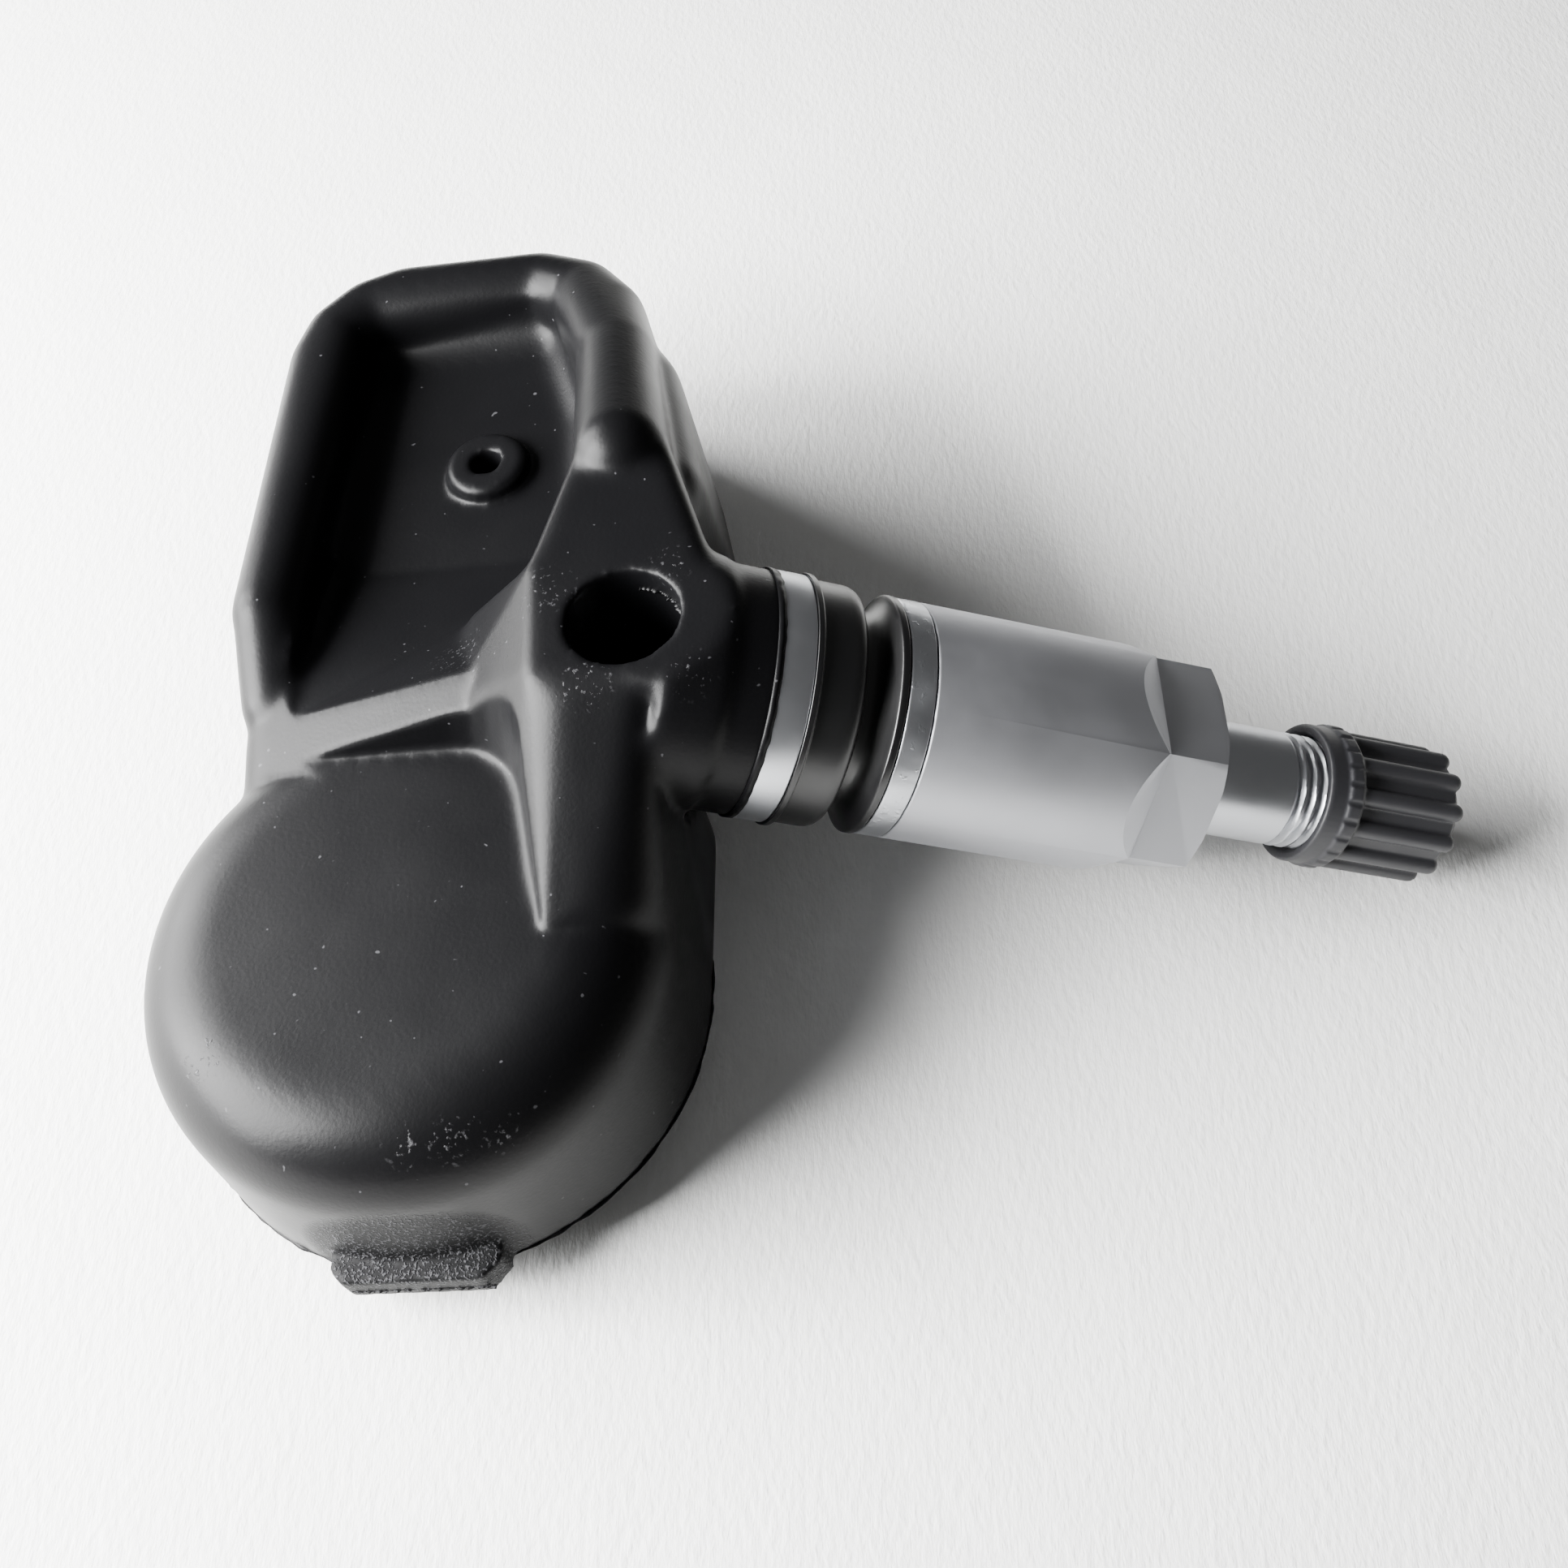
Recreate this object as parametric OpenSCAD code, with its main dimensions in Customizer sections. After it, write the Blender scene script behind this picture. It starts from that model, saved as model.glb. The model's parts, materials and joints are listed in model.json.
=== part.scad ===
// Tyre pressure sensor on a clamp-in valve stem. It lies as it is put down on a
// table: on the left edge of its housing and on the tip of its valve cap.
// Sizes are in millimetres. The housing is drawn on its own flat base, with
// x = 0 and y = 0 under the centre of the stem's sealing face.

/* [Valve stem] */
// Angle between the stem and the base of the housing
stem_angle = 25; // [18:1:30]
// Height of the stem's axis over the base, at the sealing face
seat_z = 12.8; // [12.2:0.1:13.6]
// Diameter of the valve thread and of the plain stem
stem_d = 7.75; // [7.6:0.05:8]
// Length of the stem from the sealing face to its tip
stem_len = 45; // [43:0.5:50]
// Diameter of the threaded shank that the nut runs on
shank_d = 9; // [8.8:0.1:9.6]
// Length of the threaded shank, from the sealing face
shank_len = 16; // [12:0.5:18]
// Diameter of the sealing flange
flange_d = 15.7; // [15:0.1:16.4]
// Thickness of the sealing flange
flange_t = 2; // [1.6:0.1:2.4]
// Diameter of the stem's root, moulded into the housing
root_d = 9.2; // [8.4:0.1:9.8]
// Length of the stem's root, behind the flange
root_len = 4.4; // [4:0.1:5]
// Diameter of the air passage through the stem
air_d = 3.6; // [3.4:0.1:3.8]

/* [Valve core] */
// Diameter of the core's bore in the stem's tip
core_d = 5.3; // [5:0.1:5.5]
// Depth of the core's seat under the stem's tip
core_depth = 8; // [7:0.5:9]
// Diameter of the core's pin
pin_d = 1.1; // [0.9:0.1:1.2]
// Diameter of the spring's wire
spring_wire_d = 0.26; // [0.2:0.02:0.3]
// Turns of the core's spring
spring_turns = 6; // [4:1:8]

/* [Seal, washer and nut] */
// Diameter of the rubber collar
grommet_d = 15.4; // [14.6:0.1:16]
// Diameter of the thin lip at the collar's back
grommet_lip_d = 16; // [15.6:0.1:16.6]
// Thickness of the rubber collar with its lip
grommet_collar_t = 3.4; // [3:0.1:4]
// Diameter of the rubber's waist, inside the rim hole
grommet_waist_d = 12; // [11:0.1:12.6]
// Diameter of the rubber's front disc
grommet_disc_d = 15.3; // [14.4:0.1:15.8]
// Length of the whole rubber seal
grommet_len = 5.93; // [5.6:0.01:6.6]
// Outer diameter of the washer
washer_d = 15.2; // [14.6:0.1:16]
// Thickness of the washer
washer_t = 1.7; // [1.2:0.1:2]
// Diameter of the nut's round sleeve
nut_d = 15.2; // [14.6:0.1:15.6]
// Length of the nut
nut_len = 20.1; // [19:0.1:21.5]
// Size of the nut's hexagon across its flats
hex_af = 13; // [12.6:0.1:13.4]
// Length of the hexagon's flats
hex_len = 4.4; // [4:0.1:6]

/* [Cap] */
// Diameter over the cap's ribs
cap_d = 9.5; // [9.4:0.1:10.4]
// Length of the cap
cap_len = 10.6; // [9.6:0.1:11.6]
// Length of the stem's thread inside the cap
cap_cover = 8.4; // [7.4:0.1:9]
// Number of ribs round the cap
rib_count = 12; // [8:1:14]
// Diameter of each rib
rib_d = 1.3; // [1.1:0.1:1.5]
// Diameter of the cap's beaded ring
bead_d = 9.9; // [9.7:0.1:10.6]
// Number of beads on the ring
bead_count = 24; // [16:2:28]

/* [Housing] */
// Radius of the battery dome at the base
dome_r = 17.4; // [17:0.1:18.4]
// Distance of the dome's centre behind the sealing face
dome_x = 23.5; // [22.8:0.1:24]
// Distance of the dome's centre to the near side of the stem
dome_y = 14; // [13.4:0.1:14.6]
// Height of the dome
dome_h = 14; // [13.6:0.1:14.6]
// Radius of the dome's rounded edge
dome_round = 6; // [4:0.5:7]
// Lean of the housing's walls, in degrees
draft = 4; // [2:0.5:5]
// Rise of the ramp between dome and boss, in height by length
ramp_slope = 0.43; // [0.38:0.01:0.46]
// Radius of the boss round the stem
boss_r = 8.1; // [8:0.1:8.6]
// Length of the boss's collar behind the flange
collar_len = 2.9; // [2.6:0.1:3.2]
// Height of the flat top round the air pocket
top_z = 22.3; // [21.8:0.1:23]
// Diameter of the air pocket over the stem's root
pocket_d = 6.9; // [6:0.1:7.4]
// Height of the air pocket's floor
pocket_z = 12.4; // [12.2:0.1:13.4]
// Distance from the stem to the far end of the tray
tray_end = 41.2; // [40:0.2:42.4]
// Height of the tray's rim
rim_z = 17.6; // [17:0.1:18.4]
// Width of the tray's rim
rim_w = 5; // [4.4:0.1:5.4]
// Height of the tray's floor
floor_z = 12.8; // [12.4:0.1:13.4]
// Outer diameter of the pressure port's boss
port_boss_d = 6; // [5.4:0.1:6.4]
// Height of the pressure port's boss
port_boss_h = 1.2; // [1:0.1:2]
// Diameter of the pressure port
port_d = 2.2; // [1.8:0.1:2.4]
// Thickness of the housing's shell
shell_t = 2.3; // [2:0.1:2.5]

/* [Electronics] */
// Depth of the resin's face inside the base's edge
resin_inset = 0.3; // [0.1:0.1:0.6]
// Thickness of the resin slab
resin_t = 2.1; // [1.6:0.1:2.4]
// Thickness of the circuit board
board_t = 1; // [0.8:0.1:1.2]
// Diameter of the coin cell
cell_d = 24.5; // [23:0.1:25]
// Height of the coin cell
cell_h = 5; // [4.4:0.1:5.4]
// Thickness of the welded strips
tab_t = 0.25; // [0.15:0.05:0.3]
// Side of the sensor's square package
chip_w = 7; // [6:0.5:8]
// Height of the sensor's package
chip_h = 2.2; // [1.8:0.1:2.6]
// Diameter of the antenna's wire
wire_d = 0.8; // [0.6:0.1:1]

/* [Fits] */
// Running clearance round turning and sliding pieces, on the radius
run_fit = 0.05; // [0.03:0.01:0.08]
// Clearance between pieces that are only laid together
lay_fit = 0.05; // [0.03:0.01:0.08]
// Space round the circuit board inside the shell
board_fit = 0.5; // [0.3:0.1:0.8]

/* [Hidden] */
$fn = 72;
eps = 0.01;

// places along the stem's axis, from the sealing face outwards
stem_r = stem_d / 2;
shank_r = shank_d / 2;
flange_r = flange_d / 2;
root_r = root_d / 2;
air_r = air_d / 2;
boss_t = -flange_t - collar_len;
washer_at = grommet_len + 0.02;
nut_at = washer_at + washer_t + lay_fit;
nut_end = nut_at + nut_len;
hex_at = nut_end - hex_len;
cap_at = stem_len - cap_cover;
cap_end = cap_at + cap_len;
core_seat = stem_len - core_depth;
core_top = stem_len - 1.2;
barrel_r = air_r - 0.25;

// the cap's ribs and the place where the lowest one touches the table
rib_r = rib_d / 2;
rib_at = cap_d / 2 - rib_r;
rib_end = cap_end - rib_r - 0.15;
touch_x = rib_end * cos(stem_angle) - rib_at * sin(stem_angle);
touch_z = seat_z - rib_end * sin(stem_angle) - rib_at * cos(stem_angle);

// tilt at which the dome's left edge and the lowest rib are level
edge_x = -dome_x - dome_r;
rest_tilt = asin(rib_r / norm([touch_x - edge_x, touch_z]))
  - atan2(touch_z, touch_x - edge_x);
lift = -edge_x * sin(rest_tilt);

// outline of the housing
base_flare = 0.7;
tab_end = dome_y + dome_r + 1.2;
round_z = dome_h - dome_round;
round_x = edge_x + round_z * tan(draft) + dome_round;
left_x = round_x * cos(rest_tilt) - round_z * sin(rest_tilt) - dome_round;
rest_slope = stem_angle - rest_tilt;
right_x = -seat_z * sin(rest_tilt) + cap_end * cos(rest_slope)
  + (rib_at - 0.25) * sin(rest_slope);
mid_x = (left_x + right_x) / 2;
mid_y = (tray_end + base_flare - tab_end) / 2;

// heights of the electronics
resin_top = resin_inset + resin_t;
board_top = resin_top + board_t;
cell_at = board_top + tab_t;
cell_top = cell_at + cell_h;
cave_dome_z = dome_h - shell_t - 0.4;
cave_tray_z = floor_z - shell_t;
port_x = -21;
port_y = 22.1;

// puts a piece drawn on the housing's base down on the table
module rested() {
  translate([-mid_x, -mid_y, lift]) rotate([0, -rest_tilt, 0]) children();
}

// z runs along the stem's axis, outwards from the sealing face
module on_axis() {
  translate([0, 0, seat_z]) rotate([0, 90 + stem_angle, 0]) children();
}

module turned(points) {
  rotate_extrude() polygon(points);
}

function arc(cx, cy, r, a0, a1, n) =
  [for (i = [0:n]) [cx + r * cos(a0 + (a1 - a0) * i / n), cy + r * sin(a0 + (a1 - a0) * i / n)]];

// plane of the ramp that climbs from the dome's top to the boss
ramp_dir = 52;
ramp_from = [-30.6, -2.8];
function ramp_z(x, y) = dome_h
  + ramp_slope * ((x - ramp_from[0]) * cos(ramp_dir) + (y - ramp_from[1]) * sin(ramp_dir));

// a rounded post that stands on the base, with the top of its ball at z
module post(x, y, z, r) {
  translate([x, y, z - r]) sphere(r, $fn = 32);
  translate([x, y, 0]) cylinder(r = r + base_flare, h = 0.8, $fn = 32);
}

// a post whose ball touches the ramp's plane from below
module ramp_post(x, y, r) {
  post(x, y, ramp_z(x, y) - r * (sqrt(1 + ramp_slope * ramp_slope) - 1), r);
}

module ball(x, y, z, r) {
  translate([x, y, z]) sphere(r, $fn = 24);
}

module dome() {
  rise = round_z * tan(draft);
  translate([-dome_x, -dome_y, 0]) rotate_extrude($fn = 96) polygon(concat(
    [[0, 0], [dome_r, 0]],
    arc(dome_r - rise - dome_round, round_z, dome_round, 0, 90, 8),
    [[0, dome_h]]));
}

// body between the dome and the boss, with the ramp as its top
module ramp_body() {
  hull() {
    ramp_post(-32.3, 0.4, 3.4);
    ramp_post(-32.2, -3.4, 3.6);
    ramp_post(-30.2, -6.6, 3.6);
    ramp_post(-18, -12, 3.6);
    ramp_post(-14, 3, 3.6);
    ramp_post(-26, 6, 3.4);
  }
}

// shoulder that falls from the flat top to the dome, rounded into the right wall
module shoulder() {
  r = 1.2;
  wide = 4.4;
  fall_y = -2.4 - dome_y;
  wall_x = dome_r - dome_x - base_flare - wide;
  hull() {
    ball(-12.9, -3.2, top_z - r, r);
    ball(-13.4, 4.4, top_z - r, r);
    ball(-7.4, -3.8, top_z - r, r);
    post(wall_x, -3.2, top_z, wide);
    post(wall_x, fall_y + 4.2, dome_h + 1.9, wide);
    ball(wall_x - 2, fall_y + 1.1, dome_h - 0.8, r);
    ball(wall_x - 4.6, fall_y + 4, dome_h - 1.4, r);
    ball(-17.4, -4.4, 15.4, r);
    ball(-19.4, -0.6, 15.4, r);
    ball(-19.4, 6.6, 14.2, r);
    ball(-13.4, 7.4, 13, r);
  }
}

// body under the tray, with sloped flanks on the stem's side
module tray_body() {
  hull() {
    post(-33.1, 5.4, 15.6, 3.6);
    post(-31.3, tray_end - 6, 16.4, 6);
    post(-17.7, tray_end - 4.7, 16.4, 4.7);
    post(-14, 33.4, 16.4, 3.8);
    post(-10.2, 26.6, 18, 3.4);
    post(-7.9, 15, 19.4, 3.4);
    post(-9.2, 8.6, 19.4, 3.4);
    post(-20, 2, 15, 3);
  }
}

// rounded walls round the tray and the arm that climbs to the boss
module tray_walls() {
  w = rim_w / 2;
  far = tray_end - w;
  low = -34.1;
  hull() {
    post(-33.3, 2.6, rim_z - 2.4, w);
    post(low + 0.05, 8.7, rim_z - 0.05, w);
  }
  hull() {
    post(low, 8.6, rim_z, w);
    post(low, far - 6.4, rim_z, w);
    post(low + 0.8, far - 3.4, rim_z, w);
  }
  hull() {
    post(low + 0.8, far - 3.4, rim_z, w);
    post(low + 3, far - 1, rim_z, w);
  }
  hull() {
    post(low + 3, far - 1, rim_z, w);
    post(low + 5.8, far, rim_z, w);
    post(-17.8, far, rim_z, w);
  }
  hull() {
    post(-17.8, far, rim_z, w);
    post(-14.4, far - 2, rim_z + 0.4, w + 0.2);
  }
  hull() {
    post(-14.4, far - 2, rim_z + 0.4, w + 0.2);
    post(-10.9, 27, 20.6, w + 0.3);
    post(-12.3, 33.4, 18.6, w + 0.3);
  }
  hull() {
    post(-10.9, 27, 20.6, w + 0.3);
    post(-9.1, 14.3, 24.2, w + 0.6);
  }
}

// hollow of the tray, with a coved edge round its floor
module tray_hollow() {
  r = 3;
  hull() for (z = [floor_z + r, floor_z + 20]) {
    ball(-28.6, tray_end - rim_w - r, z, r);
    ball(-18.6, tray_end - rim_w - r, z, r);
    ball(-16.4, 26, z, r);
    ball(-15.2, 13.5, z, r);
    ball(-28.6, 13.5, z, r);
  }
}

// slope that falls from the ramp's ridge to the tray's floor
module tray_slope() {
  r = 0.6;
  hull() for (up = [r, 16]) {
    ball(-31, 0.2, ramp_z(-31, 0.2) + up, r);
    ball(-13, 0.2, ramp_z(-13, 0.2) + up, r);
    ball(-31, 13.6, floor_z + up, r);
    ball(-13, 13.6, floor_z + up, r);
  }
}

// block with the flat top between the air pocket and the arm
module top_block() {
  r = 1.2;
  z = top_z - r;
  hull() {
    ball(-13.4, 4.2, z, r);
    ball(-11, 7.4, z, r);
    ball(-11, 14, z, r);
    ball(-7, 14, z, r);
    ball(-5.8, 6.4, z, r);
    ball(-3.4, 2.4, z, r);
    ball(-3.4, -1, z, r);
    ball(-6.1, -4.1, z, r);
    ball(-12.8, -3.1, z, r);
    translate([-12.4, 4, 6]) cube([6, 11, 1]);
    translate([-10, -4, 6]) cube([3, 12, 1]);
  }
}

module boss() {
  intersection() {
    on_axis() translate([0, 0, boss_t - 4]) cylinder(r = boss_r, h = 4);
    translate([-30, -15, 3]) cube([40, 30, top_z - 3]);
  }
}

// outline of the step between the dome's flat top and the ramp
module step_outline(back) {
  r = 5;
  x = -14.6 - back * 0.8;
  y = -2 - back * 0.6;
  polygon(concat([[-46, -40], [x + 2.1, -40], [x + 2.1, -3 - dome_y]],
    arc(x - r, y - r, r, 0, 90, 6),
    [[-46, y]]));
}

// the step's wall leans back, so its cut widens upwards
module step_cut() {
  hull() {
    translate([0, 0, dome_h]) linear_extrude(0.02) step_outline(1.2);
    translate([0, 0, dome_h + 8]) linear_extrude(0.02) step_outline(-1);
  }
}

module tab() {
  translate([-dome_x, -tab_end, 0]) linear_extrude(2.6) polygon([[-4.9, 6.6], [-4.9, 0.8],
    [-4.1, 0], [4.5, 0], [5.7, 1.2], [5.5, 3.6], [4.5, 6.6]]);
}

// space inside the dome, drawn smaller by gap
module dome_cave(h, gap) {
  translate([-dome_x, -dome_y, 0]) cylinder(r = dome_r - shell_t - gap, h = h, $fn = 96);
}

// space under the tray, drawn smaller by gap
module tray_cave(h, gap) {
  linear_extrude(h) polygon([[-32.4 + gap, -8], [-32.4 + gap, 33 - gap], [-29.4 + gap, 35.8 - gap],
    [-18.4 - gap, 35.8 - gap], [-13.6 - gap, 31 - gap], [-10.4 - gap, 21 - gap],
    [-10.4 - gap, 12 + gap], [-13 - gap, 9.6 + gap], [-13 - gap, -8]]);
}

// root of the stem, larger by gap where the housing is moulded round it
module root_form(gap) {
  turned([[0, -flange_t - root_len - gap], [root_r - 0.4, -flange_t - root_len - gap],
    [root_r + gap, 0.4 - flange_t - root_len - gap],
    [root_r + gap, -flange_t - 2.6], [root_r - 0.6 + gap, -flange_t - 2.2],
    [root_r - 0.6 + gap, -flange_t - 1.2], [root_r + gap, -flange_t - 0.8],
    [root_r + gap, -flange_t + (gap > 0 ? 1 : 0)], [0, -flange_t + (gap > 0 ? 1 : 0)]]);
}

module housing() {
  color("#26262a") rested() difference() {
    union() {
      difference() {
        union() {
          difference() {
            union() {
              ramp_body();
              tray_body();
            }
            tray_hollow();
            tray_slope();
          }
          tray_walls();
          top_block();
          shoulder();
        }
        on_axis() translate([0, 0, boss_t]) cylinder(r = boss_r + 0.5, h = 30);
        step_cut();
      }
      dome();
      boss();
      tab();
      on_axis() turned([[0, boss_t - 1], [boss_r - 0.35, boss_t - 1],
        [boss_r - 0.35, -flange_t], [0, -flange_t]]);
      translate([port_x, port_y, floor_z - 1]) turned([[0, 0], [port_boss_d / 2, 0],
        [port_boss_d / 2, port_boss_h + 0.6], [port_boss_d / 2 - 0.4, port_boss_h + 1],
        [0, port_boss_h + 1]]);
    }
    translate([-8, 0, pocket_z]) cylinder(d = pocket_d, h = 20);
    on_axis() root_form(lay_fit);
    translate([port_x, port_y, 1]) cylinder(d = port_d, h = 20);
    translate([0, 0, -1]) dome_cave(cave_dome_z + 1, 0);
    translate([0, 0, -1]) tray_cave(cave_tray_z + 1, 0);
  }
}

module potting_resin() {
  color("#1b1b1d") rested() translate([0, 0, resin_inset]) {
    dome_cave(resin_t, lay_fit);
    tray_cave(resin_t, lay_fit);
  }
}

module circuit_board() {
  color("#1f5a38") rested() translate([0, 0, resin_top]) {
    dome_cave(board_t, board_fit);
    tray_cave(board_t, board_fit);
  }
}

module at_cell() {
  rested() translate([-dome_x, -dome_y, cell_at]) children();
}

// cup of the coin cell, open downwards
module battery_can() {
  r = cell_d / 2;
  color("#c9ccd0") at_cell() turned([[0, cell_h - 0.25], [0, cell_h], [r - 0.5, cell_h],
    [r, cell_h - 0.5], [r, 0.5], [r - 0.4, 0.2], [r - 1, 0.2], [r - 1, 0.45],
    [r - 0.3, 0.6], [r - 0.3, cell_h - 0.5], [r - 0.6, cell_h - 0.25]]);
}

module battery_gasket() {
  r = cell_d / 2 - 0.3 - lay_fit;
  color("#3a3a3e") at_cell() turned([[r - 0.7, 0.65], [r, 0.65], [r, cell_h - 1.2],
    [r - 0.7, cell_h - 1.2]]);
}

module battery_lid() {
  r = cell_d / 2 - 1 - 2 * lay_fit;
  color("#b9bcc1") at_cell() turned([[0, 0], [r - 0.9, 0], [r - 0.3, 0.3], [r - 0.3, cell_h - 0.3],
    [0, cell_h - 0.3]]);
}

// strip over the cell and down its side to the board
module battery_tab_positive() {
  out = cell_d / 2 + 0.3;
  color("#d4d0c4") rested() translate([-dome_x, -dome_y, 0]) {
    translate([-2, 4, cell_top]) cube([4, out + tab_t - 4, tab_t]);
    translate([-2, out, board_top]) cube([4, tab_t, cell_top + tab_t - board_top]);
    translate([-2, out, board_top]) cube([4, 2, tab_t]);
  }
}

// strip between the cell's lid and the board
module battery_tab_negative() {
  color("#d4d0c4") rested() translate([-dome_x - 2, -dome_y - 8, board_top]) cube([4, 16, tab_t]);
}

module at_coil() {
  rested() translate([-28.6, 14, board_top]) children();
}

// ferrite rod with square ends
module coil_core() {
  color("#4a4a4e") at_coil() {
    translate([-1.5, -5, 0]) cube([3, 1.4, 2.8]);
    translate([-1.5, 3.6, 0]) cube([3, 1.4, 2.8]);
    translate([-0.8, -3.6, 0.6]) cube([1.6, 7.2, 1.6]);
  }
}

// copper winding, a rounded sleeve round the rod
module coil_winding() {
  color("#b06a3a") at_coil() translate([0, 3.55, 1.4]) rotate([90, 0, 0]) linear_extrude(7.1)
    difference() {
      union() {
        square([2.6, 1.8], center = true);
        square([1.8, 2.6], center = true);
        for (x = [-0.9, 0.9], y = [-0.9, 0.9]) translate([x, y]) circle(0.4);
      }
      square(1.6 + 2 * lay_fit, center = true);
    }
}

// wire loop that stands on the board
module antenna() {
  h = 4.6;
  bend = 1.2;
  span = 13;
  r = wire_d / 2;
  color("#c8b070") rested() translate([-30.4, 33.2, board_top]) {
    cylinder(r = r, h = h - bend);
    translate([bend, 0, h - bend]) rotate([90, 0, 0]) rotate([0, 0, 90])
      rotate_extrude(angle = 90) translate([bend, 0]) circle(r);
    translate([bend, 0, h]) rotate([0, 90, 0]) cylinder(r = r, h = span - 2 * bend);
    translate([span - bend, 0, h - bend]) rotate([90, 0, 0])
      rotate_extrude(angle = 90) translate([bend, 0]) circle(r);
    translate([span, 0, 0]) cylinder(r = r, h = h - bend);
  }
}

// square package with its leads and a round opening in its lid
module sensor_chip() {
  color("#2c2c30") rested() translate([port_x, port_y, board_top]) {
    difference() {
      translate([-chip_w / 2, -chip_w / 2, 0.15]) cube([chip_w, chip_w, chip_h - 0.15]);
      translate([0, 0, chip_h - 0.8]) cylinder(d = 1.6, h = 2);
    }
    for (side = [-1, 1], i = [-2:2]) translate([side * (chip_w / 2 + 0.4), i * 1.1, 0.3])
      cube([0.9, 0.4, 0.6], center = true);
  }
}

// silicone tube from the sensor's lid to the port
module port_gasket() {
  h = cave_tray_z - board_top - chip_h;
  color("#8d5a4a") rested() translate([port_x, port_y, board_top + chip_h]) turned([[1, 0],
    [2.6, 0], [2.3, 0.6], [2.3, h - 0.6], [2.6, h], [1.9, h], [1.9, h - 0.5], [1, h - 0.5]]);
}

// breathing membrane under the port
module port_filter() {
  color("#f2f2f0") rested() translate([port_x, port_y, cave_tray_z - 0.45])
    cylinder(r = 1.8, h = 0.3);
}

module crystal() {
  color("#c4c7cb") rested() translate([-16, 15.5, board_top]) {
    linear_extrude(0.3) {
      square([3.4, 2], center = true);
      for (s = [-1, 1]) translate([s * 1.7, 0]) circle(1);
    }
    linear_extrude(1.8) {
      square([3, 1.5], center = true);
      for (s = [-1, 1]) translate([s * 1.5, 0]) circle(0.75);
    }
  }
}

// two rows of ceramic chips, each with a metal end
module chip_capacitors() {
  color("#b79a72") rested() for (row = [0, 1], i = [0:3])
    translate([-26.6 + row * 3.2, 6.2 + i * 1.9, board_top]) {
      translate([0.3, 0.05, 0.05]) cube([1.4, 0.9, 0.8]);
      cube([0.35, 1, 0.9]);
      translate([1.65, 0, 0]) cube([0.35, 1, 0.9]);
    }
}

module valve_stem() {
  color("#b4b6ba") rested() on_axis() difference() {
    union() {
      root_form(0);
      turned([[0, -flange_t], [flange_r, -flange_t], [flange_r, 0], [shank_r, 0],
        [shank_r, shank_len - 0.6], [stem_r, shank_len], [stem_r, stem_len - 0.5],
        [stem_r - 0.5, stem_len], [0, stem_len]]);
    }
    turned([[0, -flange_t - root_len - 1], [air_r, -flange_t - root_len - 1],
      [air_r, core_seat], [core_d / 2, core_seat + 1.2], [core_d / 2, stem_len - 0.4],
      [core_d / 2 + 0.3, stem_len + eps], [0, stem_len + eps]]);
  }
}

// threaded head with side windows and a barrel for the spring
module core_body() {
  head_r = core_d / 2 - run_fit;
  color("#c2a55a") rested() on_axis() difference() {
    turned([[0, core_seat - 3.6], [barrel_r, core_seat - 3.6], [barrel_r, core_seat + 1.4],
      [head_r, core_seat + 1.4], [head_r, core_top - 0.3], [head_r - 0.3, core_top],
      [0, core_top]]);
    turned([[0, core_seat - 4], [barrel_r - 0.3, core_seat - 4], [barrel_r - 0.3, core_seat + 1],
      [pin_d / 2 + run_fit, core_seat + 1], [pin_d / 2 + run_fit, stem_len], [0, stem_len]]);
    for (s = [-1, 1]) translate([s * (head_r + 0.4) - 1, -3, core_top - 2.6]) cube([2, 6, 3]);
  }
}

module core_pin() {
  r = pin_d / 2;
  color("#d2b66a") rested() on_axis() turned([[0, core_seat - 4.9], [r + 0.35, core_seat - 4.9],
    [r + 0.35, core_seat - 4.65], [r, core_seat - 4.65], [r, stem_len - 0.45],
    [r - 0.2, stem_len - 0.25], [0, stem_len - 0.25]]);
}

// rubber cup that closes the barrel
module core_cup() {
  r = pin_d / 2 + 0.02;
  color("#3b3b3d") rested() on_axis() turned([[r, core_seat - 4.65], [barrel_r - 0.15, core_seat - 4.65],
    [barrel_r, core_seat - 4.3], [barrel_r, core_seat - 3.65], [r, core_seat - 3.65]]);
}

// coil of round wire, swept ring by ring
spring_r = pin_d / 2 + spring_wire_d / 2 + 0.1;
spring_h = 4.2;
spring_steps = spring_turns * 12;
function coil_point(i, k) = let (a = i * 30, u = k * 60, q = spring_r + spring_wire_d / 2 * cos(u))
  [q * cos(a), q * sin(a), spring_h * i / spring_steps + spring_wire_d / 2 * sin(u)];
module core_spring() {
  color("#d0d2d6") rested() on_axis() translate([0, 0, core_seat - 3.4]) polyhedron(
    points = [for (i = [0:spring_steps], k = [0:5]) coil_point(i, k)],
    faces = concat([[for (k = [0:5]) k]],
      [for (i = [0:spring_steps - 1], k = [0:5]) let (n = (k + 1) % 6)
        [i * 6 + n, i * 6 + k, i * 6 + k + 6, i * 6 + n + 6]],
      [[for (k = [5:-1:0]) spring_steps * 6 + k]]));
}

// cone-shaped seal between the core's head and its seat
module core_seal() {
  r = core_d / 2;
  color("#e8e8e4") rested() on_axis() turned([[barrel_r + 0.03, core_seat + 0.35],
    [air_r + 0.08, core_seat + 0.35], [r - 0.15, core_seat + 1.1], [r - 0.15, core_seat + 1.35],
    [barrel_r + 0.03, core_seat + 1.35]]);
}

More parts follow.
